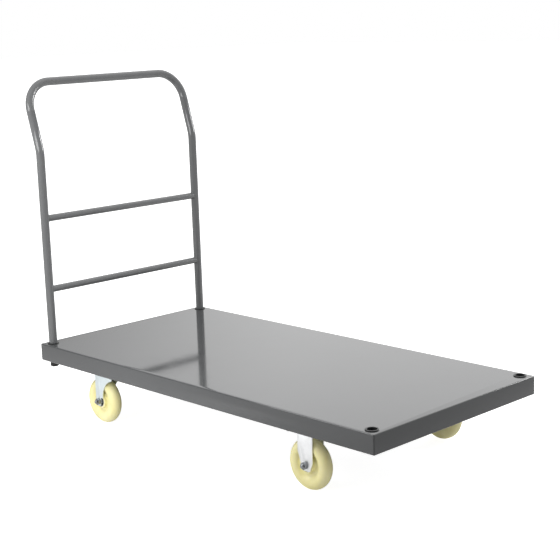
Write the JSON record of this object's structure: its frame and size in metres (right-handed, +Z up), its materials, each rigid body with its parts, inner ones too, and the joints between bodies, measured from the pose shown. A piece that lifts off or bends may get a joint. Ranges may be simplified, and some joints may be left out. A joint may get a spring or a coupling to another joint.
{
  "type": "platform cart",
  "caption": "Flat-deck steel platform cart with a lift-out leaning push handle, rigid casters at the front and swivel casters at the rear.",
  "frame": {"origin": "on the floor below the middle of the whole cart, handle included", "axes": "+X towards the front end, +Y towards the left-hand side, +Z up"},
  "size_m": [1.2988, 0.6, 0.9429],
  "materials": {
    "deck_paint": "semi-gloss grey paint",
    "frame_paint": "semi-gloss grey paint",
    "handle_paint": "semi-gloss grey paint",
    "black_plastic": "moulded black plastic",
    "nylon": "cream nylon",
    "zinc_plate": "bright zinc",
    "fastener_zinc": "zinc-plated fasteners",
    "bearing_steel": "bearing steel"
  },
  "bodies": {
    "chassis": {"deck_tray": "deck_paint", "caster_beam_front": "frame_paint", "caster_beam_rear": "frame_paint", "stiffener_front": "frame_paint", "stiffener_rear": "frame_paint", "socket_tube_front_left": "frame_paint", "socket_tube_front_right": "frame_paint", "socket_tube_rear_left": "frame_paint", "socket_tube_rear_right": "frame_paint", "socket_bush_front_left": "black_plastic", "socket_bush_front_right": "black_plastic", "socket_bush_rear_left": "black_plastic", "socket_bush_rear_right": "black_plastic", "weld_nuts": "fastener_zinc", "set_screws": "fastener_zinc", "caster_bolts": "fastener_zinc", "caster_nuts": "fastener_zinc", "rigid_fork_left": "zinc_plate", "rigid_fork_right": "zinc_plate", "swivel_plate_left": "zinc_plate", "swivel_plate_right": "zinc_plate", "bearing_cup_left": "bearing_steel", "bearing_cup_right": "bearing_steel", "kingpin_left": "bearing_steel", "kingpin_right": "bearing_steel", "kingpin_nut_left": "bearing_steel", "kingpin_nut_right": "bearing_steel", "axle_sleeve_front_left": "bearing_steel", "axle_sleeve_front_right": "bearing_steel", "axle_bolt_front_left": "fastener_zinc", "axle_bolt_front_right": "fastener_zinc", "axle_nut_front_left": "fastener_zinc", "axle_nut_front_right": "fastener_zinc"},
    "handle": {"handle_tube": "handle_paint", "lower_rail": "handle_paint", "upper_rail": "handle_paint", "end_plug_left": "black_plastic", "end_plug_right": "black_plastic"},
    "swivel_left": {"swivel_balls_left": "bearing_steel", "swivel_fork_left": "zinc_plate", "axle_sleeve_rear_left": "bearing_steel", "axle_bolt_rear_left": "fastener_zinc", "axle_nut_rear_left": "fastener_zinc"},
    "swivel_right": {"swivel_balls_right": "bearing_steel", "swivel_fork_right": "zinc_plate", "axle_sleeve_rear_right": "bearing_steel", "axle_bolt_rear_right": "fastener_zinc", "axle_nut_rear_right": "fastener_zinc"},
    "wheel_front_left": {"wheel_front_left": "nylon", "wheel_bearings_front_left": "bearing_steel"},
    "wheel_front_right": {"wheel_front_right": "nylon", "wheel_bearings_front_right": "bearing_steel"},
    "wheel_rear_left": {"wheel_rear_left": "nylon", "wheel_bearings_rear_left": "bearing_steel"},
    "wheel_rear_right": {"wheel_rear_right": "nylon", "wheel_bearings_rear_right": "bearing_steel"}
  },
  "joints": [
    {"name": "handle_lift", "type": "slide", "parent": "chassis", "child": "handle", "axis": [0, 0, 1], "range_m": [0, 0.1]},
    {"name": "swivel_turn_left", "type": "hinge", "parent": "chassis", "child": "swivel_left", "pos_m": [-0.36163, 0.2425, 0.153], "axis": [0, 0, 1], "continuous": true},
    {"name": "swivel_turn_right", "type": "hinge", "parent": "chassis", "child": "swivel_right", "pos_m": [-0.36163, -0.2425, 0.153], "axis": [0, 0, 1], "continuous": true},
    {"name": "wheel_spin_front_left", "type": "hinge", "parent": "chassis", "child": "wheel_front_left", "pos_m": [0.40037, 0.2425, 0.0635], "axis": [0, 1, 0], "continuous": true},
    {"name": "wheel_spin_front_right", "type": "hinge", "parent": "chassis", "child": "wheel_front_right", "pos_m": [0.40037, -0.2425, 0.0635], "axis": [0, 1, 0], "continuous": true},
    {"name": "wheel_spin_rear_left", "type": "hinge", "parent": "swivel_left", "child": "wheel_rear_left", "pos_m": [-0.39663, 0.2425, 0.0635], "axis": [0, 1, 0], "continuous": true},
    {"name": "wheel_spin_rear_right", "type": "hinge", "parent": "swivel_right", "child": "wheel_rear_right", "pos_m": [-0.39663, -0.2425, 0.0635], "axis": [0, 1, 0], "continuous": true}
  ]
}
